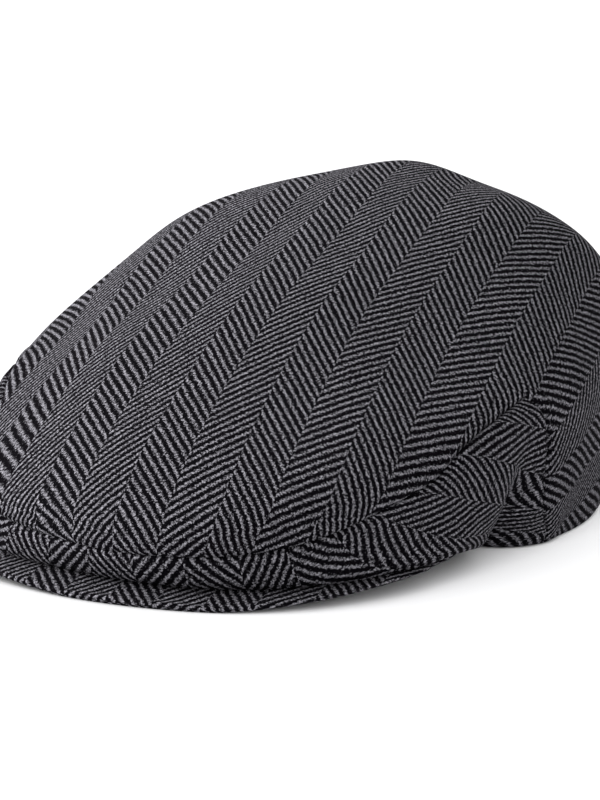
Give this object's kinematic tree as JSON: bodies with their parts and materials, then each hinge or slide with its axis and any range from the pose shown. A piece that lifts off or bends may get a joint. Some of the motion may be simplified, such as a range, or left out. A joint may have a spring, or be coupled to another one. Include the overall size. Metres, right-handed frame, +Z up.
{
  "type": "flat cap",
  "caption": "Herringbone wool flat cap with a low rounded crown, a side band and a short stiff peak, lying on its rim.",
  "frame": {"origin": "on the surface the cap lies on, under the middle of its bounding box", "axes": "+Z up, the peak points to -Y, and the wearer's left side is +X"},
  "size_m": [0.1928, 0.2658, 0.1091],
  "materials": {
    "wool_crown": "charcoal and grey herringbone wool, brushed",
    "wool_band": "charcoal and grey herringbone wool, brushed",
    "wool_peak": "charcoal and grey herringbone wool over a stiff peak"
  },
  "bodies": {
    "root": {"crown_panel": "wool_crown", "side_band": "wool_band", "peak": "wool_peak"}
  },
  "joints": []
}
